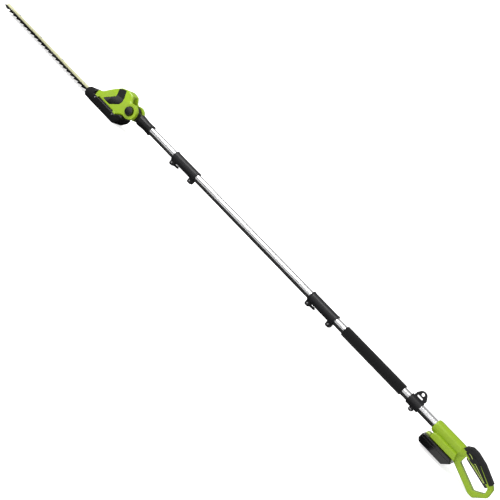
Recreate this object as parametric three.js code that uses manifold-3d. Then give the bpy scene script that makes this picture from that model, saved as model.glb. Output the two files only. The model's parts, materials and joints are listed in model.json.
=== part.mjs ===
// A battery pole hedge trimmer: cutter head on a three-section pole, with a D-handle at the rear.
// Millimetres, +Z up. The pole lies along X with the cutter towards -X and the D-handle towards +X.
// Inside this file the pole's axis is y = z = 0 and the handle's nose is x = 0; the last lines move the
// whole model so that its origin is the middle of the bottom of its box.
import * as THREE from 'three';
import { mergeVertices } from 'three/addons/utils/BufferGeometryUtils.js';
import Module from 'manifold-3d';

const wasm = await Module();
wasm.setup();

// ---- driving dimensions ----
const gap = 0.3; // between pieces that touch or run on each other
const rest_drop = 74; // from the pole's axis down to the surface that the trimmer lies on

// pole
const tube_radius = 14;
const tube_wall = 1.4;
const coupler_length = 115;
const coupler_radius = 18;
const lug_length = 20;
const lug_half_width = 9;
const lug_drop = 32; // from the axis to the lug's lower edge
const clamp_bolt_radius = 2.5;
const latch_length = 30;
const latch_half_width = 4;
const lower_coupler_x = -552; // front end of the rear coupler
const middle_span = 568; // bare tube between the couplers
const upper_span = 131; // bare tube between the front coupler and the socket
const foam_start = -396;
const foam_length = 258;
const foam_radius = 18.5;

// hanger
const hanger_x = -111; // front end of the collar
const hanger_length = 46;
const hanger_radius = 18;
const ring_height = 46; // from the axis to the top of the ring plate
const ring_half_width = 4;
const ring_hole_radius = 5.5;
const ring_hole_z = 35.5;

// pole socket and tilt pivot
const socket_length = 98; // from the tilt axis to the socket's rear end
const socket_radius = 18;
const socket_front_radius = 20.5;
const socket_body_start = 35; // from the tilt axis
const socket_depth = 50;
const tongue_radius = 24;
const tongue_half_width = 13.5;
const cheek_radius = 28;
const cheek_half_width = 30; // outer faces of the fork
const pivot_radius = 6;
const button_radius = 17;
const button_stand = 8; // how far the tilt button stands out of the fork
const button_travel = 4;
const button_inner = 6; // how deep the button sits in the fork

// head
const housing_half_width = 29;
const cover_half_width = 33;
const cover_top = -43.5; // rim between the green housing and the gear case cover
const shell_wall = 2.6;
const nose_x = -194; // from the tilt axis
const motor_x = -60;
const motor_radius = 18;
const motor_top = 14;
const gear_module = 1.6;
const gear_teeth = 30;
const pinion_teeth = 10;
const gear_thickness = 5;
const plate_thickness = 2.5;

// cutter
const rail_width = 12;
const rail_height = 12; // inside the head, where the gear plate bolts to it
const bar_height = 7; // of the rail outside the head
const rail_top = -46.2;
const blade_thickness = 1.6;
const blade_reach = 477; // blade length outside the nose
const blade_bar = 15; // half width of the blade's bar
const tooth_reach = 35; // half width over the tooth tips
const tooth_pitch = 22;
const tooth_base = 18;
const tooth_tip = 3;
const tooth_count = Math.floor((blade_reach - 31) / tooth_pitch) + 1;
const stroke = 16;
const crank_offset = stroke / 2;
const crank_pin_radius = 3;
const rail_bolt_radius = 2.5;
const rail_bolt_count = 4;
const rail_bolt_pitch = tooth_pitch * Math.floor((tooth_count - 3) / (rail_bolt_count - 1));
const tip_length = 17;
const nub_length = 10;
const guard_height = 9; // of the block under the rail's front end

// battery
const battery_front = -6;
const battery_half_width = 37.5;
const battery_split = -43.3; // between tub and lid
const battery_top = -33.6;
const battery_wall = 2.5;
const rail_half_width = 18; // of the battery's sliding rail
const cell_radius = 9.15;
const cell_length = 65;
const cell_count = 5;
const cell_pitch = cell_radius * 2 + gap;
const cell_z = battery_split - 0.6 - cell_radius;
const battery_bottom = cell_z - cell_radius - gap - battery_wall;
const first_cell = battery_front + battery_wall + 1 + cell_radius;
const battery_rear = first_cell - cell_radius + cell_pitch * cell_count + 22.5;
const latch_push = 3;

// handle
const nose_radius = 21.5;
const body_length = battery_rear - 1; // from the nose to where the loop starts
const tube_in_handle = 64;
const dock_half_width = 30;
const dock_top = -12;
const dock_bottom = -33;
const dock_front = 14;
const loop_half_width = 12.5;
const grip_half_width = 17;
const pad_thickness = 3;
const trigger_half_width = 6;
const button_push = 3; // travel of the lock-off button

// ---- solids ----
function solid(geometry) {
  const bare = geometry.clone();
  bare.deleteAttribute('normal');
  bare.deleteAttribute('uv');
  const merged = mergeVertices(bare, 1e-4);
  return new wasm.Manifold(
    new wasm.Mesh({
      numProp: 3,
      vertProperties: merged.attributes.position.array,
      triVerts: new Uint32Array(merged.index.array),
    }),
  );
}

function geometryOf(body) {
  const mesh = body.getMesh();
  const geometry = new THREE.BufferGeometry();
  geometry.setAttribute('position', new THREE.BufferAttribute(mesh.vertProperties, 3));
  geometry.setIndex(new THREE.BufferAttribute(mesh.triVerts, 1));
  return geometry;
}

function box(x0, x1, y0, y1, z0, z1) {
  const geometry = new THREE.BoxGeometry(x1 - x0, y1 - y0, z1 - z0);
  geometry.translate((x0 + x1) / 2, (y0 + y1) / 2, (z0 + z1) / 2);
  return solid(geometry);
}

// A round bar or cone between two heights along an axis, radius a at the low end and b at the high end.
function rod(axis, from, to, a, b = a, centre = [0, 0], segments = 20) {
  const geometry = new THREE.CylinderGeometry(b, a, to - from, segments);
  geometry.translate(0, (from + to) / 2, 0);
  if (axis === 'x') {
    geometry.rotateZ(-Math.PI / 2);
    geometry.translate(0, centre[0], centre[1]);
  } else if (axis === 'y') {
    geometry.translate(centre[0], 0, centre[1]);
  } else {
    geometry.rotateX(Math.PI / 2);
    geometry.translate(centre[0], centre[1], 0);
  }
  return solid(geometry);
}

// An outline from corners [a, b, corner radius], each rounded by an arc that fits between its neighbours.
const arc_step = Math.PI / 5;
function outline(corners, smallest = 0) {
  const count = corners.length;
  const points = [];
  corners.forEach(([x, y, radius = 0], i) => {
    const before = corners[(i + count - 1) % count];
    const after = corners[(i + 1) % count];
    const here = new THREE.Vector2(x, y);
    const back = new THREE.Vector2(before[0] - x, before[1] - y);
    const ahead = new THREE.Vector2(after[0] - x, after[1] - y);
    const room = 0.46 * Math.min(back.length(), ahead.length());
    back.normalize();
    ahead.normalize();
    const half = Math.acos(THREE.MathUtils.clamp(back.dot(ahead), -1, 1)) / 2;
    const reach = Math.min(radius / Math.tan(half), room);
    const fitted = reach * Math.tan(half);
    if (fitted <= smallest || Math.PI / 2 - half < 0.02) {
      points.push(here);
      return;
    }
    const start = here.clone().addScaledVector(back, reach);
    const end = here.clone().addScaledVector(ahead, reach);
    const inward = back.clone().add(ahead).normalize();
    const centre = here.clone().addScaledVector(inward, fitted / Math.sin(half));
    const from = start.clone().sub(centre).angle();
    let turn = end.clone().sub(centre).angle() - from;
    turn = Math.atan2(Math.sin(turn), Math.cos(turn));
    const steps = Math.max(1, Math.ceil(Math.abs(turn) / arc_step));
    for (let k = 0; k <= steps; k += 1) {
      const angle = from + (turn * k) / steps;
      points.push(new THREE.Vector2(centre.x + fitted * Math.cos(angle), centre.y + fitted * Math.sin(angle)));
    }
  });
  return new THREE.Shape(points);
}

// The same outline with every edge moved outwards by a distance, or inwards where it is negative.
function grown(corners, distance) {
  const area = corners.reduce((sum, [x, y], i) => {
    const [nx, ny] = corners[(i + 1) % corners.length];
    return sum + x * ny - nx * y;
  }, 0);
  const side = Math.sign(area) * distance;
  return corners.map(([x, y, radius = 0], i) => {
    const before = corners[(i + corners.length - 1) % corners.length];
    const after = corners[(i + 1) % corners.length];
    const first = new THREE.Vector2(y - before[1], before[0] - x).normalize();
    const second = new THREE.Vector2(after[1] - y, x - after[0]).normalize();
    const mitre = first.clone().add(second).divideScalar(1 + first.dot(second));
    return [x + mitre.x * side, y + mitre.y * side, radius];
  });
}

// A flat outline in X and Z, made thick from y0 to y1, with rounded rims where round > 0.
function slab(corners, y0, y1, round = 0) {
  const geometry = new THREE.ExtrudeGeometry(outline(corners, round * 1.05), {
    depth: y1 - y0 - 2 * round,
    bevelEnabled: round > 0,
    bevelThickness: round,
    bevelSize: round,
    bevelOffset: -round,
    bevelSegments: 1,
  });
  geometry.rotateX(Math.PI / 2);
  geometry.translate(0, y1 - round, 0);
  return solid(geometry);
}

// A flat outline in X and Y, made thick from z0 to z1.
function plate(corners, z0, z1) {
  const geometry = new THREE.ExtrudeGeometry(outline(corners), {
    depth: z1 - z0,
    bevelEnabled: false,
  });
  geometry.translate(0, 0, z0);
  return solid(geometry);
}

function pipe(from, to, outer, inner, segments = 24) {
  return rod('x', from, to, outer, outer, [0, 0], segments).subtract(
    rod('x', from - 1, to + 1, inner, inner, [0, 0], segments),
  );
}

// ---- materials ----
const paint = {
  green: [0x92ba30, 0.42, 0],
  black: [0x1c1d1f, 0.55, 0],
  dark: [0x303234, 0.5, 0],
  rubber: [0x17181a, 0.8, 0],
  foam: [0x141414, 0.95, 0],
  aluminium: [0xd8dadd, 0.25, 1],
  steel: [0x8f9296, 0.35, 1],
  blade: [0x2a2b2d, 0.4, 1],
  rail: [0xafb087, 0.5, 0],
  lime: [0xc9d690, 0.5, 0],
  brass: [0xb08d3c, 0.35, 1],
  cell: [0x2f6f9f, 0.5, 0],
};

const model = new THREE.Group();
const head = new THREE.Group();
const socket_end = lower_coupler_x - middle_span - coupler_length - upper_span;
const pivot_x = socket_end - socket_length;
head.position.x = pivot_x;
model.add(head);

function add(name, body, finish, parent = model) {
  const [color, roughness, metalness] = paint[finish];
  const material = new THREE.MeshStandardMaterial({ color, roughness, metalness });
  const mesh = new THREE.Mesh(geometryOf(body), material);
  mesh.name = name;
  parent.add(mesh);
}

const left_half = box(-3000, 3000, -200, -gap / 2, -400, 400);
const right_half = box(-3000, 3000, gap / 2, 200, -400, 400);

// A screw along Y: its head is at face_y and its shank runs towards tip_y.
function screwAlongY(x, z, face_y, tip_y, head_radius = 3.4, shank_radius = 1.6) {
  const inward = Math.sign(tip_y - face_y);
  const head_end = face_y + inward * 2;
  const top = rod('y', Math.min(face_y, head_end), Math.max(face_y, head_end), head_radius,
    head_radius, [x, z], 12);
  const shank = rod('y', Math.min(face_y + inward, tip_y), Math.max(face_y + inward, tip_y),
    shank_radius, shank_radius, [x, z], 8);
  return top.add(shank);
}

function screwHole(x, z, face_y, tip_y, head_radius = 3.4, shank_radius = 1.6) {
  const inward = Math.sign(tip_y - face_y);
  const seat = face_y + inward * (2 + gap);
  const outside = face_y - inward * 10;
  const recess = rod('y', Math.min(outside, seat), Math.max(outside, seat), head_radius + gap,
    head_radius + gap, [x, z], 12);
  const end = tip_y + inward * gap;
  const bore = rod('y', Math.min(face_y, end), Math.max(face_y, end), shank_radius + gap,
    shank_radius + gap, [x, z], 8);
  return recess.add(bore);
}

// ---- cutter ----
const rail_bottom = rail_top - rail_height;
const upper_blade_top = rail_bottom - gap;
const upper_blade_bottom = upper_blade_top - blade_thickness;
const lower_blade_top = upper_blade_bottom - gap;
const lower_blade_bottom = lower_blade_top - blade_thickness;
const gear_x = motor_x - (gear_module * (gear_teeth + pinion_teeth)) / 2;
const rail_rear = gear_x - gear_module * gear_teeth / 2 - 8;
const blade_tip = nose_x - blade_reach;
const rail_front = blade_tip - crank_offset - 5;
const yoke_half_length = crank_offset * 2 + crank_pin_radius + 0.5;
const yoke_half_width = crank_offset + crank_pin_radius + 0.5;
const blade_root = gear_x + yoke_half_length + 5;
const first_tooth = nose_x - crank_offset - tooth_pitch * 0.4;
const bolt_xs = Array.from(
  { length: rail_bolt_count },
  (_, i) => first_tooth - tooth_pitch - i * rail_bolt_pitch,
);

function bladeOutline() {
  const side = [];
  for (let i = 0; i < tooth_count; i += 1) {
    const x = first_tooth - i * tooth_pitch;
    side.push([x + tooth_base / 2, blade_bar], [x + tooth_tip / 2, tooth_reach]);
    side.push([x - tooth_tip / 2, tooth_reach], [x - tooth_base / 2, blade_bar]);
  }
  const root = [[blade_root, -blade_bar, 3], [blade_root, blade_bar, 3]];
  const tip = [[blade_tip, blade_bar, 6], [blade_tip, -blade_bar, 6]];
  const mirrored = side.map(([x, y]) => [x, -y]).reverse();
  return [...root, ...side, ...tip, ...mirrored];
}

function blade(bottom) {
  let body = plate(bladeOutline(), bottom, bottom + blade_thickness);
  const yoke = box(gear_x - yoke_half_length, gear_x + yoke_half_length, -yoke_half_width,
    yoke_half_width, bottom - 1, bottom + blade_thickness + 1);
  body = body.subtract(yoke);
  const half_slot = crank_offset + rail_bolt_radius + 0.5;
  for (const x of bolt_xs) {
    const half = rail_bolt_radius + 0.4;
    body = body.subtract(box(x - half_slot, x + half_slot, -half, half, bottom - 1,
      bottom + blade_thickness + 1));
  }
  return body;
}

const bar_top = rail_bottom + bar_height;
const bar_front = rail_front - gap - tip_length;
const step_x = nose_x + 6;
let rail = box(bar_front, rail_rear, -rail_width / 2, rail_width / 2, rail_bottom, rail_top)
  .subtract(box(bar_front - 1, step_x, -rail_width, rail_width, bar_top, rail_top + 1))
  .subtract(box(bar_front - 1, nose_x, -0.8, 0.8, bar_top - 1.2, bar_top + 1));
for (const x of bolt_xs) {
  rail = rail.subtract(rod('z', rail_bottom - 1, bar_top + 1, rail_bolt_radius + gap,
    rail_bolt_radius + gap, [x, 0], 10));
}
add('blade_support_rail', rail, 'rail', head);
add('upper_blade', blade(upper_blade_bottom), 'blade', head);
add('lower_blade', blade(lower_blade_bottom), 'blade', head);

bolt_xs.forEach((x, i) => {
  const nut_top = lower_blade_bottom - gap;
  const nut_bottom = nut_top - 3;
  const shank = rod('z', nut_bottom, bar_top + 1.5, rail_bolt_radius, rail_bolt_radius, [x, 0], 10);
  const cap = rod('z', bar_top + gap, bar_top + 2.6, 4.2, 3.2, [x, 0], 10);
  const nut = rod('z', nut_bottom, nut_top, 4.4, 4.4, [x, 0], 6);
  add(`rail_bolt_${i + 1}`, shank.add(cap).add(nut), 'steel', head);
});

const guard_rear = rail_front - gap;
const guard_top = rail_bottom - gap;
const guard_bottom = guard_top - guard_height;
const guard = slab(
  [
    [guard_rear, guard_bottom + 2, 2],
    [guard_rear, guard_top, 0.5],
    [bar_front, guard_top, 0.5],
    [bar_front, guard_bottom + 4, 3],
    [bar_front + 5, guard_bottom, 2],
    [guard_rear - 3, guard_bottom, 2],
  ],
  -9,
  9,
  1,
);
const nub_z = guard_top - guard_height / 2;
const nub = rod('x', bar_front - nub_length, bar_front + 2, 3, 4, [0, nub_z], 16);
add('blade_tip_guard', guard.add(nub), 'black', head);

// ---- drive ----
const gear_plate_bottom = rail_top + gap;
const gear_plate_top = gear_plate_bottom + plate_thickness;
const gear_top = gear_plate_bottom - 0.6;
const gear_bottom = gear_top - gear_thickness;

// A spur gear's outline in X and Y, with one tooth (or one gap) on the +X side of its centre.
function gearOutline(centre_x, teeth, tooth_first) {
  const pitch_radius = (gear_module * teeth) / 2;
  const tip = pitch_radius + 0.8 * gear_module;
  const root = pitch_radius - 1.2 * gear_module;
  const step = (2 * Math.PI) / teeth;
  const turn = tooth_first ? 0 : step / 2;
  const corners = [];
  for (let i = 0; i < teeth; i += 1) {
    const middle = turn + i * step;
    for (const [share, radius] of [[-0.27, root], [-0.11, tip], [0.11, tip], [0.27, root]]) {
      const angle = middle + share * step;
      corners.push([centre_x + radius * Math.cos(angle), radius * Math.sin(angle)]);
    }
  }
  return corners;
}

const axle_radius = 4;
const pin_radius = crank_pin_radius;
const wheel = plate(gearOutline(gear_x, gear_teeth, true), gear_bottom, gear_top)
  .add(rod('z', gear_top - 1, gear_plate_top, axle_radius, axle_radius, [gear_x, 0], 20))
  .add(rod('z', upper_blade_bottom, gear_bottom + 1, pin_radius, pin_radius, [gear_x, crank_offset], 16))
  .add(rod('z', lower_blade_bottom, gear_bottom + 1, pin_radius, pin_radius, [gear_x, -crank_offset], 16));
add('drive_gear', wheel, 'steel', head);

const motor_bottom = gear_plate_top + gap;
const shaft_radius = 2.5;
// An even number of teeth: a gap faces -X when a gap faces +X.
const pinion = plate(gearOutline(motor_x, pinion_teeth, false), gear_bottom, gear_top)
  .add(rod('z', gear_top - 1, motor_bottom + 6, shaft_radius, shaft_radius, [motor_x, 0], 20));
add('motor_pinion', pinion, 'brass', head);

const motor = rod('z', motor_bottom, motor_top, motor_radius, motor_radius, [motor_x, 0], 32)
  .add(rod('z', motor_top - 1, motor_top + 6, 8, 7, [motor_x, 0], 24))
  .subtract(rod('z', motor_bottom - 1, motor_bottom + 8, shaft_radius + gap, shaft_radius + gap,
    [motor_x, 0], 20));
add('motor_can', motor, 'steel', head);

const plate_front = rail_rear - 28;
const cavity_rear = -38; // rear wall of the gear case
const plate_rear = cavity_rear - gap;
const cover_inner = cover_half_width - shell_wall;
const gear_plate_body = plate(
  [
    [plate_rear, -24, 8],
    [plate_rear, 24, 8],
    [plate_front, 20, 8],
    [plate_front, -20, 8],
  ],
  gear_plate_bottom,
  gear_plate_top,
)
  .subtract(rod('z', gear_plate_bottom - 1, gear_plate_top + 1, axle_radius + gap, axle_radius + gap,
    [gear_x, 0], 20))
  .subtract(rod('z', gear_plate_bottom - 1, gear_plate_top + 1, 5, 5, [motor_x, 0], 20));
add('gear_plate', gear_plate_body, 'steel', head);

// ---- head housing ----
const nose_step_x = -152; // where the green housing starts behind the black nose
const bulge_top = 49;
const fork_x = -31; // web at the root of the fork
const housing_corners = [
  [nose_step_x, cover_top + gap, 1],
  [nose_step_x, -26, 4],
  [-136, -18, 14],
  [-110, 12, 8],
  [-84, 38, 8],
  [-56, bulge_top, 14],
  [-32, bulge_top - 3, 12],
  [-19, 26, 8],
  [-4, 22, 4],
  [-4, -24, 2],
  [-24, -33, 2],
  [-36, cover_top + gap, 1],
];
const housing_cavity = slab(
  grown(housing_corners, -shell_wall),
  -housing_half_width + shell_wall,
  housing_half_width - shell_wall,
).intersect(box(nose_step_x, fork_x - shell_wall, -100, 100, -100, 100));
const housing_floor = box(nose_step_x + shell_wall, fork_x - shell_wall, -housing_half_width + shell_wall,
  housing_half_width - shell_wall, cover_top - 5, cover_top + 8);
const pocket_floor = cheek_half_width - button_inner - button_travel - gap;
const housing = slab(housing_corners, -housing_half_width, housing_half_width, 4)
  .add(rod('y', -cheek_half_width, cheek_half_width, cheek_radius, cheek_radius, [0, 0], 32))
  .subtract(housing_cavity)
  .subtract(housing_floor)
  .subtract(box(fork_x, 60, -tongue_half_width - gap, tongue_half_width + gap, -60, 60))
  .subtract(rod('y', -60, 60, pivot_radius + gap, pivot_radius + gap, [0, 0], 32))
  .subtract(rod('y', -60, -pocket_floor, button_radius + gap, button_radius + gap, [0, 0], 24));

// The dark inlay on each side of the housing: a flat bent band that also runs up to the top edge.
const inlay_depth = 1.6;
const inlay_corners = [
  [-119, -34, 3],
  [-79, 3, 5],
  [-80, 12, 3],
  [-92, 33, 2],
  [-66, 47, 2],
  [-48, 17, 8],
  [-46, 3, 6],
  [-50, -9, 8],
  [-82, -34, 3],
];
function inlay(side, grow, depth) {
  const outer = housing_half_width + 1;
  const inner = housing_half_width - depth;
  const corners = grown(inlay_corners, grow);
  return side < 0 ? slab(corners, -outer, -inner) : slab(corners, inner, outer);
}
const inlay_skin = slab(housing_corners, -housing_half_width + 0.2, housing_half_width - 0.2, 4);
const inlay_pockets = inlay(-1, gap, inlay_depth + gap).add(inlay(1, gap, inlay_depth + gap));

// Tabs of the housing reach down inside the gear case cover, and a screw on each side holds the cover.
const tab_half_length = 7;
const tab_xs = [-142, -46];
const screw_z = -52;
const tab_outer = cover_inner - gap;
let tabs = null;
for (const x of tab_xs) {
  for (const side of [-1, 1]) {
    const near = side < 0 ? -tab_outer : housing_half_width - shell_wall - 1;
    const far = side < 0 ? -housing_half_width + shell_wall + 1 : tab_outer;
    const tab = box(x - tab_half_length, x + tab_half_length, near, far, screw_z - 6, cover_top + 3);
    tabs = tabs ? tabs.add(tab) : tab;
  }
}
const tabs_under_rim = tabs.intersect(box(-400, 400, -100, 100, -100, cover_top + 3));
let whole_housing = housing.subtract(inlay_pockets).add(tabs_under_rim);
const screw_face = cover_half_width - 0.8;
const screw_tip = tab_outer - 5;
for (const x of tab_xs) {
  for (const side of [-1, 1]) {
    whole_housing = whole_housing.subtract(screwHole(x, screw_z, side * screw_face, side * screw_tip));
  }
}
const head_screw_xs = [[-144, -36], [-38, 34]];
const head_screw_face = housing_half_width - 0.6;
for (const [x, z] of head_screw_xs) {
  const post = rod('y', -housing_half_width + 1, housing_half_width - 1, 4.6, 4.6, [x, z], 20);
  whole_housing = whole_housing
    .add(post.intersect(slab(housing_corners, -housing_half_width + 1, housing_half_width - 1)))
    .subtract(screwHole(x, z, head_screw_face, -12));
}
add('head_housing_left', whole_housing.intersect(left_half), 'green', head);
add('head_housing_right', whole_housing.intersect(right_half), 'green', head);
add('head_inlay_left', inlay(-1, 0, inlay_depth).intersect(inlay_skin), 'black', head);
add('head_inlay_right', inlay(1, 0, inlay_depth).intersect(inlay_skin), 'black', head);
head_screw_xs.forEach(([x, z], i) => {
  add(`head_screw_${i + 1}`, screwAlongY(x, z, head_screw_face, -12), 'steel', head);
});

// ---- gear case cover ----
const cover_corners = [
  [nose_x, -62, 8],
  [nose_x + 1, -46, 10],
  [nose_x + 12, -35, 10],
  [nose_step_x - 10, -31, 6],
  [nose_step_x - gap, -31, 1],
  [nose_step_x - gap, cover_top, 0],
  [-36, cover_top, 0],
  [-24, -33.6, 2],
  [-11, -32, 2],
  [-6, -37, 3],
  [-9, -52, 6],
  [-27, -rest_drop, 8],
  [nose_x + 6, -rest_drop, 10],
];
const cover_cavity = slab(grown(cover_corners, -shell_wall), -cover_inner, cover_inner)
  .intersect(box(nose_x, cavity_rear, -100, 100, -100, 100))
  .add(box(nose_step_x - gap - shell_wall, cavity_rear, -cover_inner, cover_inner, cover_top - 6, cover_top + 20));
const throat_half_width = blade_bar + 1.5;
let cover = slab(cover_corners, -cover_half_width, cover_half_width, 4)
  .subtract(cover_cavity)
  .subtract(box(nose_x - 20, nose_x + 20, -throat_half_width, throat_half_width,
    lower_blade_bottom - 1.2, gear_plate_bottom + 0.2))
  .subtract(rod('y', -60, 60, cheek_radius + gap, cheek_radius + gap, [0, 0], 32));
for (const x of tab_xs) {
  for (const side of [-1, 1]) {
    cover = cover.subtract(screwHole(x, screw_z, side * screw_face, side * screw_tip));
  }
}
add('gear_case_cover', cover, 'black', head);
let cover_screw = 0;
for (const x of tab_xs) {
  for (const side of [-1, 1]) {
    cover_screw += 1;
    add(`cover_screw_${cover_screw}`,
      screwAlongY(x, screw_z, side * screw_face, side * screw_tip), 'steel', head);
  }
}

// ---- tilt pivot ----
const button_outer = cheek_half_width + button_stand;
const cap_radius = 14;
const bolt_end = pocket_floor;
const pivot = rod('y', -bolt_end, button_outer - 2, pivot_radius, pivot_radius, [0, 0], 32)
  .add(rod('y', cheek_half_width + gap, button_outer, cap_radius, cap_radius - 3, [0, 0], 24));
add('pivot_bolt', pivot, 'black', head);
const button = rod('y', -button_outer, -cheek_half_width + button_inner, button_radius - 1.5,
  button_radius, [0, 0], 24);
add('tilt_button', button, 'black', head);

// The socket stays with the pole: it is placed from the tilt axis like the head.
const socket = rod('y', -tongue_half_width, tongue_half_width, tongue_radius, tongue_radius, [0, 0], 24)
  .add(box(0, socket_body_start + 6, -tongue_half_width, tongue_half_width, -15, 15))
  .add(rod('x', socket_body_start, socket_body_start + 5, socket_front_radius - 4, socket_front_radius,
    [0, 0], 24))
  .add(rod('x', socket_body_start + 5, socket_length - 30, socket_front_radius, socket_radius, [0, 0], 24))
  .add(rod('x', socket_length - 30, socket_length - 6, socket_radius, socket_radius, [0, 0], 24))
  .add(rod('x', socket_length - 6, socket_length, socket_radius, socket_radius + 1.5, [0, 0], 24))
  .subtract(rod('y', -60, 60, pivot_radius + gap, pivot_radius + gap, [0, 0], 32))
  .subtract(rod('x', socket_length - socket_depth, socket_length + 1, tube_radius + gap,
    tube_radius + gap, [0, 0], 24));
add('pole_socket', socket, 'black', head);

// ---- pole ----
const tube_bore = tube_radius - tube_wall;
const upper_coupler_x = lower_coupler_x - middle_span - coupler_length;
const lower_joint = lower_coupler_x + coupler_length / 2;
const upper_joint = upper_coupler_x + coupler_length / 2;
add('upper_tube', pipe(socket_end - socket_depth + gap, upper_joint - 0.5, tube_radius, tube_bore),
  'aluminium');
add('middle_tube', pipe(upper_joint + 0.5, lower_joint - 0.5, tube_radius, tube_bore), 'aluminium');
add('lower_tube', pipe(lower_joint + 0.5, tube_in_handle, tube_radius, tube_bore), 'aluminium');
add('foam_grip', pipe(foam_start, foam_start + foam_length, foam_radius, tube_radius + gap), 'foam');

const lug_bolt_z = -24.5;
const lug_bolt_drop = 5; // from the lug's outer end to its bolt
function coupler(start) {
  const end = start + coupler_length;
  const bolt_xs_here = [start + lug_length / 2, end - lug_length / 2];
  let body = rod('x', start, end, coupler_radius, coupler_radius, [0, 0], 24);
  for (const x of [start, end - lug_bolt_drop]) {
    body = body.add(rod('x', x, x + lug_bolt_drop, coupler_radius + 1, coupler_radius + 1, [0, 0], 24));
  }
  for (const x of bolt_xs_here) {
    const half = lug_length / 2;
    body = body.add(slab(
      [[x - half, -10], [x + half, -10], [x + half, -lug_drop, 6], [x - half, -lug_drop, 6]],
      -lug_half_width, lug_half_width, 1.2,
    ));
  }
  body = body
    .subtract(rod('x', start - 1, end + 1, tube_radius + gap, tube_radius + gap, [0, 0], 24))
    .subtract(box(start - 1, end + 1, -0.8, 0.8, -60, -10));
  for (const x of bolt_xs_here) {
    body = body.subtract(rod('y', -60, 60, clamp_bolt_radius + gap, clamp_bolt_radius + gap,
      [x, lug_bolt_z], 12));
  }
  const lever_room = latch_half_width + gap + 0.1;
  body = body.subtract(box(bolt_xs_here[0] - 7, start + lug_length + 1, -lever_room, lever_room,
    -60, -coupler_radius - 0.2));
  return body;
}

function clampBolt(x) {
  const face = lug_half_width + gap;
  return rod('y', -face - 2.5, face + 2.5, clamp_bolt_radius, clamp_bolt_radius, [x, lug_bolt_z], 12)
    .add(rod('y', -face - 3, -face, 4.4, 4.4, [x, lug_bolt_z], 12))
    .add(rod('y', face, face + 3, 4.4, 4.4, [x, lug_bolt_z], 6));
}

// The latch lever turns on the front clamp bolt and reaches back under the sleeve.
function latchLever(start) {
  const x = start + lug_length / 2;
  const hub_radius = -coupler_radius - 0.6 - lug_bolt_z;
  const tail = x + latch_length;
  return rod('y', -latch_half_width, latch_half_width, hub_radius, hub_radius, [x, lug_bolt_z], 16)
    .add(slab(
      [[x, lug_bolt_z + 3, 1], [tail - 6, -19.4, 3], [tail, -22, 2], [tail - 2, -27, 3], [x, lug_bolt_z - 4, 2]],
      -latch_half_width, latch_half_width, 0.8,
    ))
    .subtract(rod('y', -60, 60, clamp_bolt_radius + gap, clamp_bolt_radius + gap, [x, lug_bolt_z], 12));
}

const couplers = [['upper', upper_coupler_x], ['lower', lower_coupler_x]];
for (const [which, start] of couplers) {
  add(`${which}_coupler`, coupler(start), 'dark');
  add(`${which}_latch_lever`, latchLever(start), 'dark');
  add(`${which}_clamp_bolt_1`, clampBolt(start + lug_length / 2), 'steel');
  add(`${which}_clamp_bolt_2`, clampBolt(start + coupler_length - lug_length / 2), 'steel');
}

// ---- hanger ----
const hanger_end = hanger_x + hanger_length;
const hanger_middle = hanger_x + hanger_length / 2;
const hanger_lug_x = hanger_x + 27;
const hanger_lug_half = 8;
const ring_plate = slab(
  [
    [hanger_x + 4, 8],
    [hanger_x + 6, ring_height - 16, 8],
    [hanger_x + 16, ring_height, 12],
    [hanger_end - 12, ring_height, 12],
    [hanger_end + 2, ring_height - 20, 8],
    [hanger_end - 6, 8],
  ],
  -ring_half_width,
  ring_half_width,
  1.5,
);
const hanger = rod('x', hanger_x, hanger_end, hanger_radius, hanger_radius, [0, 0], 24)
  .add(ring_plate)
  .add(slab(
    [[hanger_lug_x - hanger_lug_half, -10], [hanger_lug_x + hanger_lug_half, -10],
      [hanger_lug_x + hanger_lug_half, -28, 5], [hanger_lug_x - hanger_lug_half, -28, 5]],
    -8, 8, 1.2,
  ))
  .subtract(rod('x', hanger_x - 1, hanger_end + 1, tube_radius + gap, tube_radius + gap, [0, 0], 24))
  .subtract(rod('y', -20, 20, ring_hole_radius, ring_hole_radius, [hanger_middle + 2, ring_hole_z], 24))
  .subtract(slab(
    [[hanger_middle - 10, 20, 3], [hanger_middle + 11, 20, 3], [hanger_middle + 11, 26, 3],
      [hanger_middle - 10, 26, 3]],
    -20, 20,
  ))
  .subtract(box(hanger_x - 1, hanger_end + 1, -0.8, 0.8, -60, -10))
  .subtract(rod('y', -20, 20, clamp_bolt_radius + gap, clamp_bolt_radius + gap, [hanger_lug_x, -22.5], 12));
add('hanger_bracket', hanger, 'dark');
const hanger_bolt = rod('y', -11, 11, clamp_bolt_radius, clamp_bolt_radius, [hanger_lug_x, -22.5], 12)
  .add(rod('y', -12, -8 - gap, 5, 5, [hanger_lug_x, -22.5], 12))
  .add(rod('y', 8 + gap, 11.5, 4.4, 4.4, [hanger_lug_x, -22.5], 6));
add('hanger_bolt', hanger_bolt, 'steel');

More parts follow.
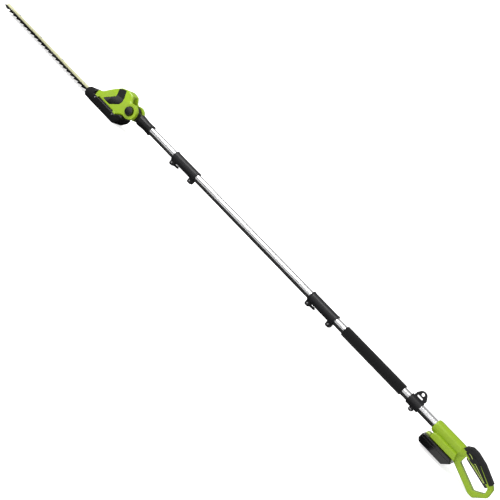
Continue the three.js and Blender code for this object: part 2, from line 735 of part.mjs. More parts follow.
// ---- handle ----
// Corners whose x is counted from the end of the handle's body.
function behindBody(corners) {
  return corners.map(([x, z, radius]) => [body_length + x, z, radius]);
}
const loop_corners = behindBody([
  [-52, 18, 4],
  [-4, 19, 6],
  [12, 30, 10],
  [34, 30, 12],
  [70, 21, 16],
  [131, -7, 6],
  [137, -14, 6],
  [141, -41, 10],
  [107, -rest_drop, 8],
  [91, -rest_drop, 6],
  [4, -40, 6],
  [-8, -31, 2],
  [-52, -18, 2],
]);
const hand_opening = behindBody([
  [15, 3, 5],
  [15, -25, 5],
  [97, -57, 6],
  [126, -39, 7],
  [121, -19, 7],
]);
const grip_corners = behindBody([
  [-8, 16, 4],
  [-4, 19, 6],
  [12, 30, 10],
  [34, 30, 12],
  [70, 21, 16],
  [131, -7, 6],
  [124, -24, 3],
  [116, -18, 2],
  [19, 3.6, 2],
  [6, 2, 3],
]);
const pad_outer = behindBody([
  [-6, 14, 2],
  [-3, 22, 4],
  [12, 33, 10],
  [34, 33, 12],
  [71, 24, 16],
  [126, -1, 3],
  [120, -12, 3],
  [66, 12, 12],
  [28, 18, 8],
  [12, 12, 4],
]);
const pad_inner = behindBody([
  [-22, -40],
  [-22, 18.4],
  [-4, 19.4, 6],
  [12, 30.4, 10],
  [34, 30.4, 12],
  [70, 21.4, 16],
  [148, -14],
  [128, -60],
]);
const trigger_corners = behindBody([
  [19, 5.2, 2],
  [116, -16.6, 2],
  [119, -23, 3],
  [114, -27, 3],
  [22, -6, 3],
  [17, -1, 3],
]);
const trigger_slot = behindBody([[16, -12], [122, -40], [122, -13], [19, 14.6]]);
const core_half_width = grip_half_width - pad_thickness;
const lock_x = body_length + 38;
const lock_z = 5;
const lock_half = [9, 5];
const switch_box = [body_length + 19, body_length + 45, -8, 8, 15.6, 25.6];
const dock_bay_top = battery_top + 9;
const terminal_front = body_length - 12;
const rail_side_gap = 0.4;

const dock = slab(
  [
    [dock_front, dock_bottom, 1],
    [dock_front, dock_top - 4, 2],
    [dock_front + 8, dock_top, 3],
    [body_length - 6, dock_top, 3],
    [body_length + 2, dock_bottom, 2],
  ],
  -dock_half_width,
  dock_half_width,
  2,
);
const grip_core = slab(grip_corners, -core_half_width, core_half_width, 2);
let handle = rod('x', 0, 6, nose_radius - 3, nose_radius, [0, 0], 24)
  .add(rod('x', 6, body_length - 10, nose_radius, nose_radius, [0, 0], 24))
  .add(rod('x', body_length - 10, body_length + 10, nose_radius, 14, [0, 0], 24))
  .add(dock)
  .add(slab(loop_corners, -loop_half_width, loop_half_width, 3))
  .add(grip_core)
  .subtract(slab(hand_opening, -60, 60))
  .subtract(rod('x', -5, tube_in_handle + 1, tube_radius + gap, tube_radius + gap, [0, 0], 24))
  .subtract(box(dock_front - 2, terminal_front + 9, -rail_half_width - rail_side_gap,
    rail_half_width + rail_side_gap, dock_bottom - 4, dock_bay_top + rail_side_gap))
  .subtract(slab(trigger_slot, -trigger_half_width - gap, trigger_half_width + gap))
  .subtract(box(switch_box[0] - gap, switch_box[1] + gap, switch_box[2] - gap, switch_box[3] + gap,
    13, switch_box[5] + gap))
  .subtract(box(lock_x - lock_half[0] - gap, lock_x + lock_half[0] + gap, -60, -trigger_half_width - 1.3,
    lock_z - lock_half[1] - gap, lock_z + lock_half[1] + gap));
const handle_screws = [[-18, 8], [6, -34], [132, -34]];
const handle_screw_face = loop_half_width - 1;
const deep_face = nose_radius - 4;
const screw_faces = [deep_face, handle_screw_face, handle_screw_face];
behindBody(handle_screws).forEach(([x, z], i) => {
  handle = handle.subtract(screwHole(x, z, screw_faces[i], -8));
  add(`handle_screw_${i + 1}`, screwAlongY(x, z, screw_faces[i], -8), 'steel');
});
const pad = slab(pad_outer, -grip_half_width, grip_half_width, 2.5)
  .subtract(slab(pad_inner, -core_half_width - gap, core_half_width + gap));
add('handle_shell_left', handle.intersect(left_half), 'green');
add('handle_shell_right', handle.intersect(right_half), 'green');
add('grip_overmould', pad, 'rubber');

const trigger = slab(trigger_corners, -trigger_half_width, trigger_half_width, 1);
add('trigger', trigger, 'black');
const lock_outer = -core_half_width - 2;
const lock_inner = -trigger_half_width - 1.3 - gap - button_push;
const lock = slab(
  [[lock_x - lock_half[0], lock_z - lock_half[1], 3], [lock_x + lock_half[0], lock_z - lock_half[1], 3],
    [lock_x + lock_half[0], lock_z + lock_half[1], 3], [lock_x - lock_half[0], lock_z + lock_half[1], 3]],
  lock_outer,
  lock_inner,
);
add('lock_off_button', lock, 'black');
const trigger_switch = box(...switch_box).add(
  rod('z', switch_box[4] - 1.4, switch_box[4] + 1, 2.5, 2.5, [(switch_box[0] + switch_box[1]) / 2 - 6, 0], 16),
);
add('trigger_switch', trigger_switch, 'black');
const terminal = box(terminal_front, terminal_front + 9 - gap, -rail_half_width + 2, rail_half_width - 2,
  dock_bottom + 1, dock_bay_top);
add('terminal_block', terminal, 'brass');

// ---- battery ----
const battery_corners = [
  [battery_front, battery_bottom + 9, 6],
  [battery_front, battery_top - 5, 5],
  [battery_front + 6, battery_top, 3],
  [battery_rear - 8, battery_top, 2],
  [battery_rear, battery_top - 12, 3],
  [battery_rear - 20, battery_bottom, 4],
  [battery_front + 8, battery_bottom, 6],
];
const pack_body = slab(battery_corners, -battery_half_width, battery_half_width, 3);
const cell_room = box(
  battery_front + battery_wall,
  first_cell + cell_pitch * (cell_count - 1) + cell_radius + 1,
  -cell_length / 2 - 1,
  cell_length / 2 + 1,
  battery_bottom + battery_wall,
  battery_split + 0.5,
);
const tub = pack_body
  .subtract(box(-100, 300, -100, 100, battery_split - gap, 100))
  .subtract(cell_room);
const latch_box = [battery_front + 3, battery_front + 18, -12, 12];
const lid_rail = box(dock_front + 2, terminal_front - 0.5, -rail_half_width, rail_half_width,
  battery_top - 2, dock_bay_top);
const lid = pack_body
  .subtract(box(-100, 300, -100, 100, -100, battery_split))
  .add(lid_rail)
  .subtract(box(latch_box[0] - gap, latch_box[1] + gap, latch_box[2] - gap, latch_box[3] + gap,
    battery_top - 6.5, 0));
add('battery_tub', tub, 'black');
add('battery_lid', lid, 'black');
add('battery_latch', slab(
  [[latch_box[0], battery_top - 6.5 + latch_push + gap], [latch_box[0], battery_top + 3, 2],
    [latch_box[1], battery_top + 6, 3], [latch_box[1], battery_top - 6.5 + latch_push + gap]],
  latch_box[2],
  latch_box[3],
  1,
), 'lime');
for (let i = 0; i < cell_count; i += 1) {
  const centre = [first_cell + i * cell_pitch, cell_z];
  add(`cell_${i + 1}`, rod('y', -cell_length / 2, cell_length / 2, cell_radius, cell_radius, centre, 16),
    'cell');
}

// ---- origin at the middle of the bottom of the box ----
model.updateMatrixWorld(true);
const bounds = new THREE.Box3().setFromObject(model, true);
model.position.set(-(bounds.min.x + bounds.max.x) / 2, -(bounds.min.y + bounds.max.y) / 2, -bounds.min.z);

const group = new THREE.Group();
group.name = 'pole_hedge_trimmer';
group.add(model);

export default group;
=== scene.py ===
"""The looks of the pole hedge trimmer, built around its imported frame. Metres, row frame: +X towards the
handle, +Z up when the trimmer lies on its head sole and handle loop, -Y the user's left side."""

import json
import math

import bmesh
import bpy
from mathutils import Matrix, Vector, noise


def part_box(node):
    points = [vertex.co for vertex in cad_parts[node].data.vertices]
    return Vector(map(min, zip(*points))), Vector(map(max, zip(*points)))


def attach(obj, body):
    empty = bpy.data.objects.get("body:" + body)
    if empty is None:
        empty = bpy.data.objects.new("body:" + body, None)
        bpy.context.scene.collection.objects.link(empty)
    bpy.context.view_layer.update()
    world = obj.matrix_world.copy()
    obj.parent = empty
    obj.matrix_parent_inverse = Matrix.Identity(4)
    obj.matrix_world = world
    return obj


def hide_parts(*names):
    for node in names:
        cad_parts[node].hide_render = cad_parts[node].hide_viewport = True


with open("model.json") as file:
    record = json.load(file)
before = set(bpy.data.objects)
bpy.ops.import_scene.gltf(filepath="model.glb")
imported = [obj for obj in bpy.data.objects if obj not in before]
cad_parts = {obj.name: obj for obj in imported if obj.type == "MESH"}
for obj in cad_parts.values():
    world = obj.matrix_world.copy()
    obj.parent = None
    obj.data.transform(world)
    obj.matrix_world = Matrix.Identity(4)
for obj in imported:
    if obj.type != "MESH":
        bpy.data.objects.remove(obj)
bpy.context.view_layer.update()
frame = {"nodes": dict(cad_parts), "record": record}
MM = 0.001
record = frame["record"]
body_of = {node: body for body, nodes in record["behaviour"]["bodies"].items() for node in nodes}
slot_of = {part["node"]: part["material_slot"] for part in record["subparts"]}
scene = bpy.context.scene


# ---- where things are, from the frame's own boxes ----
def middle(node):
    low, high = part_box(node)
    return (low + high) / 2


pivot = Vector((middle("pivot_bolt").x, 0, middle("pivot_bolt").z))
pole_z = middle("middle_tube").z


# ---- materials ----
SOCKETS = {
    "color": "Base Color",
    "rough": "Roughness",
    "normal": "Normal",
    "metal": "Metallic",
    "specular": "Specular IOR Level",
    "coat": "Coat Weight",
    "coat_rough": "Coat Roughness",
    "sheen": "Sheen Weight",
}


class Nodes:
    """Adds nodes to one material's tree and links them."""

    def __init__(self, name):
        self.material = bpy.data.materials.new(name)
        self.material.use_nodes = True
        self.tree = self.material.node_tree
        self.shader = self.tree.nodes["Principled BSDF"]
        self.place = self.tree.nodes.new("ShaderNodeTexCoord").outputs["Object"]

    def add(self, kind, inputs=None, **settings):
        """A new node. Each input is a value, or a socket to link from."""
        node = self.tree.nodes.new(kind)
        for key, value in settings.items():
            setattr(node, key, value)
        for key, value in (inputs or {}).items():
            if isinstance(value, bpy.types.NodeSocket):
                self.tree.links.new(value, node.inputs[key])
            else:
                node.inputs[key].default_value = value
        return node

    def noise(self, scale, detail=3.0, rough=0.55, stretch=None):
        place = self.place
        if stretch:
            place = self.add("ShaderNodeMapping", {"Vector": place, "Scale": stretch}).outputs[0]
        inputs = {"Vector": place, "Scale": scale, "Detail": detail, "Roughness": rough}
        return self.add("ShaderNodeTexNoise", inputs).outputs["Fac"]

    def span(self, value, low, high, start=0.3, end=0.7):
        """Maps value from start..end to low..high, and holds it there outside."""
        inputs = {0: value, 1: start, 2: end, 3: low, 4: high}
        return self.add("ShaderNodeMapRange", inputs).outputs[0]

    def mix(self, factor, a, b):
        node = self.add("ShaderNodeMix", data_type="RGBA")
        for index, value in ((0, factor), (6, a), (7, b)):
            if isinstance(value, bpy.types.NodeSocket):
                self.tree.links.new(value, node.inputs[index])
            elif index == 0:
                node.inputs[0].default_value = value
            else:
                node.inputs[index].default_value = (*value, 1)
        return node.outputs[2]

    def bump(self, height, strength, distance, before=None):
        inputs = {"Height": height, "Strength": strength, "Distance": distance}
        if before is not None:
            inputs["Normal"] = before
        return self.add("ShaderNodeBump", inputs).outputs[0]

    def set(self, **inputs):
        for key, value in inputs.items():
            socket = self.shader.inputs[SOCKETS[key]]
            if isinstance(value, bpy.types.NodeSocket):
                self.tree.links.new(value, socket)
            elif key == "color":
                socket.default_value = (*value, 1)
            else:
                socket.default_value = value


def linear(red, green, blue):
    """A colour given as 8-bit sRGB, as the linear values that shaders use."""
    curve_start = 10
    return tuple(
        ((c / 255 + 0.055) / 1.055) ** 2.4 if c > curve_start else c / 255 / 12.92
        for c in (red, green, blue)
    )


def shade(color, factor):
    return tuple(min(1, c * factor) for c in color)


def plastic(name, color, rough=0.42, grain=1500.0, grain_depth=0.03, spread=0.06, wear=0.25, coat=0.0,
            specular=0.5):
    """Moulded plastic: fine spark-eroded grain, slow colour drift, handling marks and rubbed edges, with
    painted shade in its hollows.
    """
    n = Nodes(name)
    drift = n.noise(22.0, 2.0)
    base = n.mix(n.span(drift, 0, 1), shade(color, 1 - spread), shade(color, 1 + spread))
    edges = n.add("ShaderNodeNewGeometry").outputs["Pointiness"]
    rubbed = n.span(edges, 0, wear, 0.53, 0.62)
    scuffs = n.noise(60.0, 5.0, 0.7)
    rubbed = n.add("ShaderNodeMath", {0: rubbed, 1: n.span(scuffs, 0.25, 1, 0.35, 0.65)},
                   operation="MULTIPLY").outputs[0]
    lighter = tuple(c + (1 - c) * 0.35 for c in color)
    base = n.mix(rubbed, base, lighter)
    # Painted shade: the colour is darkened a little in hollows and creases, where the surface curves inwards.
    painted_hollow_shade = n.span(edges, 0.16, 0, 0.40, 0.49)
    base = n.mix(painted_hollow_shade, base, shade(color, 0.55))
    scratches = n.noise(140.0, 3.0, 0.6, (1, 9, 7))
    fine = n.noise(grain, 2.0)
    normal = n.bump(fine, 0.35, grain_depth * MM)
    normal = n.bump(n.noise(90.0, 2.0), 0.12, 0.08 * MM, normal)
    n.set(color=base, normal=normal, coat=coat, specular=specular,
          rough=n.span(scratches, rough - 0.05, rough + 0.07, 0.3, 0.7))
    if coat:
        n.set(coat_rough=0.08)
    return n.material


def metal(name, color, rough=0.3, stretch=(0.03, 1, 1), scale=2500.0, spread=0.08, depth=0.012, dirt=0.25):
    """Metal with a drawn or ground grain along the direction of the small stretch value."""
    n = Nodes(name)
    grain = n.noise(scale, 3.0, 0.6, stretch)
    patches = n.noise(35.0, 4.0, 0.6)
    base = n.mix(n.span(grain, 0, 1), shade(color, 1 - spread), shade(color, 1 + spread))
    base = n.mix(n.span(patches, 0, dirt, 0.5, 0.8), base, shade(color, 0.7))
    n.set(color=base, metal=1.0, normal=n.bump(grain, 0.4, depth * MM),
          rough=n.span(patches, rough - 0.05, rough + 0.08, 0.3, 0.7))
    return n.material


def rubber(name, color, rough=0.7):
    n = Nodes(name)
    pores = n.add("ShaderNodeTexVoronoi", {"Vector": n.place, "Scale": 900.0}).outputs["Distance"]
    base = n.mix(n.span(n.noise(40.0, 3.0), 0, 1), shade(color, 0.85), shade(color, 1.2))
    normal = n.bump(pores, 0.3, 0.05 * MM)
    n.set(color=base, normal=normal, rough=n.span(n.noise(120.0), rough - 0.06, rough + 0.1, 0.3, 0.7))
    n.set(specular=0.4)
    return n.material


def foam(name, color):
    n = Nodes(name)
    cells = n.add("ShaderNodeTexVoronoi", {"Vector": n.place, "Scale": 750.0}).outputs["Distance"]
    fine = n.noise(2600.0, 2.0)
    base = n.mix(n.span(cells, 0, 1, 0.1, 0.7), shade(color, 1.5), shade(color, 0.7))
    normal = n.bump(fine, 0.5, 0.05 * MM, n.bump(cells, 0.9, 0.25 * MM))
    n.set(color=base, normal=normal, rough=0.92, specular=0.25, sheen=0.15)
    return n.material


def coated(name, color):
    """Painted light metal with rust-coloured stains and chipped edges."""
    n = Nodes(name)
    base = n.mix(n.span(n.noise(30.0, 3.0), 0, 1), shade(color, 0.94), shade(color, 1.05))
    stain = n.span(n.noise(55.0, 5.0, 0.65), 0, 0.3, 0.6, 0.8)
    base = n.mix(stain, base, linear(186, 150, 96))
    edges = n.add("ShaderNodeNewGeometry").outputs["Pointiness"]
    base = n.mix(n.span(edges, 0, 0.5, 0.55, 0.64), base, shade(color, 1.25))
    normal = n.bump(n.noise(1200.0, 3.0, 0.6, (0.15, 1, 1)), 0.3, 0.02 * MM)
    n.set(color=base, normal=normal, rough=n.span(n.noise(80.0), 0.36, 0.52, 0.3, 0.7))
    return n.material


GREEN = linear(146, 178, 30)
materials = {
    "green_plastic": plastic("green_plastic", GREEN, rough=0.34, spread=0.04, wear=0.3),
    "black_plastic": plastic("black_plastic", linear(17, 17, 18), rough=0.38, spread=0.15, wear=0.06,
                             specular=0.3),
    "dark_plastic": plastic("dark_plastic", linear(27, 27, 29), rough=0.44, spread=0.12, wear=0.08,
                            specular=0.3),
    "grip_rubber": rubber("grip_rubber", linear(16, 16, 17)),
    "foam": foam("foam", linear(11, 11, 12)),
    "tube_aluminium": metal("tube_aluminium", (0.88, 0.88, 0.89), rough=0.22, stretch=(0.004, 1, 1),
                            spread=0.02,
                            depth=0.001, dirt=0.05),
    "steel": metal("steel", (0.55, 0.55, 0.56), rough=0.28, stretch=(1, 1, 1), scale=900.0),
    "blade_steel": plastic("blade_steel", linear(10, 10, 11), rough=0.7, grain=2200.0, grain_depth=0.01,
                           spread=0.3, wear=0.35, specular=0.03),
    "rail_coat": coated("rail_coat", linear(208, 208, 168)),
    "lime_plastic": plastic("lime_plastic", linear(204, 226, 112), rough=0.4, spread=0.04),
    "brass": metal("brass", (0.75, 0.55, 0.25), rough=0.3, stretch=(1, 1, 1), scale=700.0),
    "cell_wrap": plastic("cell_wrap", linear(60, 110, 150), rough=0.3, grain_depth=0.01),
    "gloss_black": plastic("gloss_black", linear(9, 9, 10), rough=0.2, grain_depth=0.006, spread=0.1,
                           wear=0.08, coat=0.35),
    "knob_black": plastic("knob_black", linear(8, 8, 9), rough=0.16, grain_depth=0.004, spread=0.1,
                          wear=0.06, coat=0.6),
    "tip_grey": plastic("tip_grey", linear(150, 150, 148), rough=0.4),
}


# ---- meshes ----
def link(name, mesh, material):
    obj = bpy.data.objects.new(name, mesh)
    mesh.materials.clear()
    mesh.materials.append(materials[material])
    scene.collection.objects.link(obj)
    return obj


def welded(node):
    """A CAD node's surface with its points joined, ready to be worked on. The node keeps its own mesh."""
    source = frame["nodes"][node].data
    bm = bmesh.new()
    bm.from_mesh(source)
    bmesh.ops.remove_doubles(bm, verts=bm.verts, dist=0.004 * MM)
    bmesh.ops.recalc_face_normals(bm, faces=bm.faces)
    return bm


def mesh_from(bm, name):
    mesh = bpy.data.meshes.new(name)
    bm.to_mesh(mesh)
    bm.free()
    return mesh


def baked(obj):
    """Applies the object's modifiers."""
    graph = bpy.context.evaluated_depsgraph_get()
    graph.update()
    mesh = bpy.data.meshes.new_from_object(obj.evaluated_get(graph), depsgraph=graph)
    obj.modifiers.clear()
    old = obj.data
    obj.data = mesh
    bpy.data.meshes.remove(old)
    return obj


def smooth_shaded(obj, angle=32.0):
    obj.data.shade_smooth()
    obj.data.set_sharp_from_angle(angle=math.radians(angle))
    return obj


def finish_piece(obj, node):
    """The piece stands for this node and moves with its body."""
    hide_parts(node)
    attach(obj, body_of[node])
    return obj


def edge_bevel(obj, width, angle):
    """Breaks every edge sharper than angle, in degrees, by width in millimetres."""
    edge = obj.modifiers.new("edge", "BEVEL")
    edge.width = width * MM
    edge.segments = 2
    edge.limit_method = "ANGLE"
    edge.angle_limit = math.radians(angle)
    return edge


def crisp(node, name, bevel):
    """A refined copy of a machined or small part: flat faces merged and every edge broken by a bevel."""
    bm = welded(node)
    bmesh.ops.dissolve_limit(bm, angle_limit=math.radians(0.6), verts=bm.verts, edges=bm.edges,
                             delimit={"NORMAL"})
    obj = link(name, mesh_from(bm, name), slot_of[node])
    edge_bevel(obj, bevel, 34).harden_normals = True
    baked(obj)
    smooth_shaded(obj, 40)
    return finish_piece(obj, node)


def moulded(node, name, voxel=0.6, rounds=4, keep=0.3, material=None, shape=None, angle=50.0):
    """A moulded shell made from a CAD node: remeshed finely, its edges rounded, then shaped and thinned out.
    voxel is in millimetres, keep is the share of the faces that stays, and angle is where shading breaks."""
    material = material or slot_of[node]
    obj = link(name, mesh_from(welded(node), name), material)
    remesh = obj.modifiers.new("remesh", "REMESH")
    remesh.mode = "VOXEL"
    remesh.voxel_size = voxel * MM
    relax = obj.modifiers.new("relax", "SMOOTH")
    relax.factor = 0.5
    relax.iterations = rounds
    baked(obj)
    if shape:
        for vertex in obj.data.vertices:
            vertex.co = shape(vertex.co)
    thin = obj.modifiers.new("thin", "DECIMATE")
    thin.ratio = keep
    baked(obj)
    obj.data.materials.clear()
    obj.data.materials.append(materials[material])
    smooth_shaded(obj, angle)
    return finish_piece(obj, node)


def turned(name, profile, material, segments):
    """A piece turned round the pole's axis. profile is a closed loop of (place along X, radius) pairs."""
    bm = bmesh.new()
    rings = []
    for i in range(segments):
        angle = 2 * math.pi * i / segments
        c, s = math.cos(angle), math.sin(angle)
        rings.append([bm.verts.new((along, radius * c, pole_z + radius * s)) for along, radius in profile])
    count = len(profile)
    for i in range(segments):
        a, b = rings[i], rings[(i + 1) % segments]
        for k in range(count):
            m = (k + 1) % count
            bm.faces.new((a[k], a[m], b[m], b[k]))
    bmesh.ops.recalc_face_normals(bm, faces=bm.faces)
    return link(name, mesh_from(bm, name), material)


def tube_profile(start, end, outer, inner, edge=0.4 * MM, step=0.03):
    """The loop of a tube's wall, with rounded edges and rings along its length."""
    count = max(2, int((end - start) / step))
    places = [start + edge + (end - start - 2 * edge) * i / count for i in range(count + 1)]
    outside = [(start + 0.3 * edge, outer - 0.3 * edge)] + [(x, outer) for x in places]
    outside += [(end - 0.3 * edge, outer - 0.3 * edge), (end, outer - edge)]
    inside = [(end, inner + 0.1 * MM), (start, inner + 0.1 * MM), (start, outer - edge)]
    return outside + inside


def clear_of_pocket(node, scale, shorten):
    """A shape for a button that slides in +Y: slimmer and shorter at its inner end, to clear its pocket."""
    center = middle(node)
    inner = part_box(node)[1].y - shorten * MM

    def shaped(co):
        return Vector((center.x + (co.x - center.x) * scale, min(co.y, inner),
                       center.z + (co.z - center.z) * scale))

    return shaped


# ---- the pole ----
tube_wall = 1.4 * MM
foam_wall = 4.2 * MM


def pole_tube(node):
    low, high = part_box(node)
    radius = (high.z - low.z) / 2
    profile = tube_profile(low.x, high.x, radius, radius - tube_wall)
    obj = turned(node + "_drawn", profile, "tube_aluminium", 96)
    smooth_shaded(obj, 30)
    return finish_piece(obj, node)


for node in ("lower_tube", "middle_tube", "upper_tube"):
    pole_tube(node)


def foam_sleeve(node):
    """The foam grip: a little uneven along its length, its ends rolled in."""
    low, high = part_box(node)
    radius = (high.z - low.z) / 2
    bore = radius - foam_wall
    roll = 3.0 * MM
    profile = []
    for i in range(7):
        turn = math.pi / 2 * i / 6
        profile.append((low.x + roll * (1 - math.sin(turn)), radius - roll * (1 - math.cos(turn))))
    profile = profile[::-1]
    count = 90
    body = [(low.x + roll + (high.x - low.x - 2 * roll) * i / count, radius) for i in range(1, count)]
    mirrored = [(low.x + high.x - x, r) for x, r in reversed(profile)]
    loop = profile + body + mirrored + [(high.x, bore), (low.x, bore)]
    obj = turned(node + "_sleeve", loop, "foam", 80)
    axis = Vector((0, 0, pole_z))
    for vertex in obj.data.vertices:
        out = Vector((0, vertex.co.y, vertex.co.z)) - axis
        if out.length > radius - 2 * MM:
            waves = 1 + noise.noise(vertex.co * 45)
            pits = 1 + noise.noise(vertex.co * 260)
            sag = 0.35 * MM * waves + 0.1 * MM * pits
            vertex.co -= out.normalized() * sag
    smooth_shaded(obj, 60)
    finish_piece(obj, node)


foam_sleeve("foam_grip")

for place in ("lower", "upper"):
    moulded(place + "_coupler", place + "_coupler_moulded", voxel=0.5, rounds=3, keep=0.35)
    moulded(place + "_latch_lever", place + "_latch_moulded", voxel=0.35, rounds=3, keep=0.5)
    for number in (1, 2):
        crisp(f"{place}_clamp_bolt_{number}", f"{place}_clamp_bolt_{number}_turned", bevel=0.4)
moulded("hanger_bracket", "hanger_moulded", voxel=0.45, rounds=3, keep=0.35)
crisp("hanger_bolt", "hanger_bolt_turned", bevel=0.4)
moulded("pole_socket", "pole_socket_moulded", voxel=0.5, rounds=3, keep=0.35)


# ---- the cutter head ----
def clamp(value, low=0.0, high=1.0):
    return max(low, min(high, value))


def head_facets(co):
    """The housing narrows towards its top in two facets that meet in a crease, away from the fork."""
    x, z = (co.x - pivot.x) / MM, (co.z - pivot.z) / MM
    reach = math.hypot(x, z)
    away = clamp((reach - 29.5) / 6)
    upper = clamp((z - 6 - 0.12 * (x + 110)) / 44)
    front = clamp((-x - 92) / 60) * clamp((z + 34) / 20)
    scale = 1 - away * (0.30 * upper + 0.16 * front)
    return Vector((co.x, co.y * scale, co.z))


def head_cover_shape(co):
    """The cover's nose narrows a little towards its front end."""
    x = (co.x - pivot.x) / MM
    return Vector((co.x, co.y * (1 - 0.12 * clamp((-x - 150) / 44)), co.z))


for side in ("left", "right"):
    moulded("head_housing_" + side, f"head_housing_{side}_moulded", shape=head_facets, angle=28)
    moulded("head_inlay_" + side, f"head_inlay_{side}_moulded", voxel=0.4, rounds=2, keep=0.5,
            shape=head_facets, material="gloss_black")
moulded("gear_case_cover", "gear_case_cover_moulded", rounds=5, shape=head_cover_shape)
for number in (1, 2, 3, 4):
    crisp(f"cover_screw_{number}", f"cover_screw_{number}_turned", bevel=0.25)
    crisp(f"rail_bolt_{number}", f"rail_bolt_{number}_turned", bevel=0.4)
for number in (1, 2):
    crisp(f"head_screw_{number}", f"head_screw_{number}_turned", bevel=0.25)
crisp("blade_support_rail", "blade_support_rail_cut", bevel=0.6)
crisp("upper_blade", "upper_blade_ground", bevel=0.25)
crisp("lower_blade", "lower_blade_ground", bevel=0.25)
moulded("blade_tip_guard", "blade_tip_guard_moulded", voxel=0.4, rounds=3, keep=0.5)
moulded("tilt_button", "tilt_button_moulded", voxel=0.35, keep=0.5, material="knob_black",
        shape=clear_of_pocket("tilt_button", 0.975, 0.8))
crisp("pivot_bolt", "pivot_bolt_turned", bevel=0.6)


# ---- the handle ----
handle_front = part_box("handle_shell_left")[0].x
barrel_length = 112
barrel_radius = 21.5
dock_top = -11
# Each plane is its slope in degrees above the side, and its distance from the pole's axis.
barrel_planes = ((0, 19.6), (52, 20.0), (90, 20.6))


def handle_facets(co):
    """Flattens the round barrel into planes that meet in lengthwise creases."""
    x, y, z = (co.x - handle_front) / MM, co.y / MM, (co.z - pole_z) / MM
    if x < barrel_length and math.hypot(y, z) > barrel_radius - 4:
        for slope, reach in barrel_planes:
            c, s = math.cos(math.radians(slope)), math.sin(math.radians(slope))
            over = abs(y) * c + z * s - reach
            if over > 0 and z > dock_top:
                y -= math.copysign(over * c, y)
                z -= over * s
    return Vector((co.x, y * MM, pole_z + z * MM))


for side in ("left", "right"):
    moulded("handle_shell_" + side, f"handle_shell_{side}_moulded", voxel=0.75, keep=0.22, angle=30,
            shape=handle_facets)
moulded("grip_overmould", "grip_overmould_moulded", rounds=6)
moulded("trigger", "trigger_moulded", voxel=0.45, keep=0.4, material="gloss_black")
moulded("lock_off_button", "lock_off_moulded", voxel=0.4, keep=0.5,
        shape=clear_of_pocket("lock_off_button", 0.93, 1.6))
moulded("battery_tub", "battery_tub_moulded", voxel=0.7, keep=0.25, material="gloss_black")
moulded("battery_lid", "battery_lid_moulded", keep=0.25, material="gloss_black")
moulded("battery_latch", "battery_latch_moulded", voxel=0.35, keep=0.5)
for number in (1, 2, 3):
    crisp(f"handle_screw_{number}", f"handle_screw_{number}_turned", bevel=0.25)

# ---- the soft panel and the lime lines on the grip's sides ----
def strip(points, width):
    """A closed outline round a line of (x, z) points, in millimetres."""
    left, right = [], []
    for i, point in enumerate(points):
        before, after = points[max(0, i - 1)], points[min(len(points) - 1, i + 1)]
        along = Vector((after[0] - before[0], after[1] - before[1])).normalized()
        across = Vector((-along.y, along.x)) * width / 2
        left.append((point[0] + across.x, point[1] + across.y))
        right.append((point[0] - across.x, point[1] - across.y))
    return left + right[::-1]


def side_panel(name, outline, thickness, side, slot):
    """A thin raised shape on the grip's side, 0.3 mm of it sunk in. The outline is in millimetres: x from
    4 mm in front of the overmould, and z from the pole's axis."""
    bm = bmesh.new()
    start = core_half_width - 0.3
    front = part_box("grip_overmould")[0].x - 4 * MM
    rings = []
    for level in (start, start + thickness):
        rings.append([bm.verts.new((front + x * MM, side * level * MM, pole_z + z * MM)) for x, z in outline])
    count = len(outline)
    for i in range(count):
        k = (i + 1) % count
        bm.faces.new((rings[0][i], rings[0][k], rings[1][k], rings[1][i]))
    bm.faces.new(rings[0][::-1])
    bm.faces.new(rings[1])
    bmesh.ops.recalc_face_normals(bm, faces=bm.faces)
    obj = link(name, mesh_from(bm, name), slot)
    edge_bevel(obj, 0.25, 40)
    baked(obj)
    smooth_shaded(obj, 40)
    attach(obj, "handle")
    return obj


core_half_width = 14.0
line_width = 1.3
panel_outline = [(18, 9), (50, 2.5), (84, -7), (116, -16.2), (122, -11), (68, 14.5), (34, 21), (20, 17)]
upper_line = strip([(17, 16), (33, 14), (46, 9), (52, 1.5), (60, 5), (90, -6), (114, -15.5)], line_width)
lower_line = strip([(24, 3.2), (46, -1.5), (70, -7), (98, -13), (113, -16.6)], line_width)
for side, word in ((-1, "left"), (1, "right")):
    side_panel("grip_side_panel_" + word, panel_outline, 1.0, side, "grip_rubber")
    side_panel("grip_upper_line_" + word, upper_line, 1.5, side, "lime_plastic")
    side_panel("grip_lower_line_" + word, lower_line, 0.9, side, "lime_plastic")

# Parts inside the shells keep their frame meshes.
for name, obj in frame["nodes"].items():
    obj.data.materials.clear()
    obj.data.materials.append(materials[slot_of[name]])


# ---- the stage ----
def stage_box(name, low, high, material):
    bm = bmesh.new()
    bmesh.ops.create_cube(bm, size=1.0)
    low, high = Vector(low), Vector(high)
    bmesh.ops.transform(bm, verts=bm.verts,
                        matrix=Matrix.Translation((low + high) / 2) @ Matrix.Diagonal((*(high - low), 1)))
    obj = bpy.data.objects.new(name, mesh_from(bm, name))
    obj.data.materials.append(material)
    scene.collection.objects.link(obj)
    return obj


# The floor glows a little towards the camera alone, so that it is white and still takes the shadow.
floor_nodes = Nodes("floor")
floor_nodes.set(rough=0.9, specular=0.1, color=floor_nodes.mix(
    floor_nodes.span(floor_nodes.noise(6.0), 0, 1), (0.90, 0.90, 0.90), (0.92, 0.92, 0.92)))
path = floor_nodes.add("ShaderNodeLightPath").outputs["Is Camera Ray"]
floor_nodes.tree.links.new(path, floor_nodes.shader.inputs["Emission Strength"])
floor_nodes.shader.inputs["Emission Color"].default_value = (0.72, 0.72, 0.72, 1)
stage_box("floor", (-14, -14, -0.02), (14, 14, 0), floor_nodes.material)

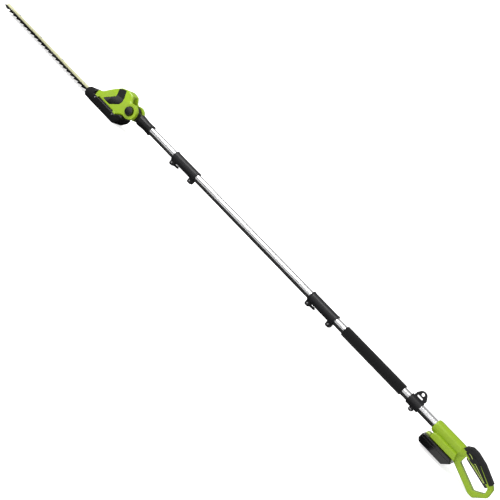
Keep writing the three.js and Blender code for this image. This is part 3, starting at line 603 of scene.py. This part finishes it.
# A dark card on the floor that only reflections see: it draws the dark band along the bright tubes.
card_nodes = Nodes("dark_card")
card_nodes.set(rough=0.9, specular=0.0, color=card_nodes.mix(
    card_nodes.span(card_nodes.noise(5.0), 0, 1), (0.02, 0.02, 0.02), (0.025, 0.025, 0.025)))
card = stage_box("dark_card", (-0.74, -0.36, 0.0008), (1.0, 0.4, 0.0012), card_nodes.material)
for flag in ("visible_camera", "visible_diffuse", "visible_shadow", "visible_transmission"):
    setattr(card, flag, False)


def area_light(name, place, target, size, power):
    """A rectangular light at place that faces target."""
    light = bpy.data.lights.new(name, "AREA")
    light.shape = "RECTANGLE"
    light.size, light.size_y = size
    light.energy = power
    obj = bpy.data.objects.new(name, light)
    obj.location = place
    obj.rotation_euler = (Vector(target) - Vector(place)).to_track_quat("-Z", "Y").to_euler()
    scene.collection.objects.link(obj)


area_light("key", (-0.9, -1.2, 2.6), (0, 0, 0), (2.4, 1.4), 95)
area_light("fill", (1.4, -2.6, 1.1), (0.1, 0, 0.05), (1.6, 1.6), 14)

world = bpy.data.worlds.new("studio")
scene.world = world
world.use_nodes = True
tree = world.node_tree
background = tree.nodes["Background"]
background.inputs["Color"].default_value = (1, 1, 1, 1)
light_path = tree.nodes.new("ShaderNodeLightPath")
seen = tree.nodes.new("ShaderNodeMath")
seen.operation = "MAXIMUM"
tree.links.new(light_path.outputs["Is Camera Ray"], seen.inputs[0])
tree.links.new(light_path.outputs["Is Transmission Ray"], seen.inputs[1])
strength = tree.nodes.new("ShaderNodeMapRange")
strength.inputs[3].default_value = 0.42  # what lights the trimmer
strength.inputs[4].default_value = 1.05  # what the camera sees
tree.links.new(seen.outputs[0], strength.inputs[0])
tree.links.new(strength.outputs[0], background.inputs["Strength"])

# ---- the camera: low at the left side, rolled so that the pole runs from corner to corner ----
azimuth, elevation, roll = (math.radians(a) for a in (20.55, 13.26, -41.2))
level_right = Vector((math.cos(azimuth), math.sin(azimuth), 0))
level_up = Vector((-math.sin(azimuth) * math.sin(elevation), math.cos(azimuth) * math.sin(elevation),
                   math.cos(elevation)))
back = level_right.cross(level_up)
right = math.cos(roll) * level_right - math.sin(roll) * level_up
up = math.sin(roll) * level_right + math.cos(roll) * level_up
aim = Vector((pivot.x + 0.659, 0, pole_z))
camera_distance = 3.3506
shift_right, shift_up = -0.02764, -0.02716
camera_data = bpy.data.cameras.new("camera")
camera_data.lens = 74.49
camera = bpy.data.objects.new("camera", camera_data)
scene.collection.objects.link(camera)
turn = Matrix((right, up, back)).transposed()
place = aim + back * camera_distance + right * shift_right + up * shift_up
camera.matrix_world = Matrix.Translation(place) @ turn.to_4x4()
camera_data.clip_end = 60
scene.camera = camera
scene.view_settings.view_transform = "Standard"
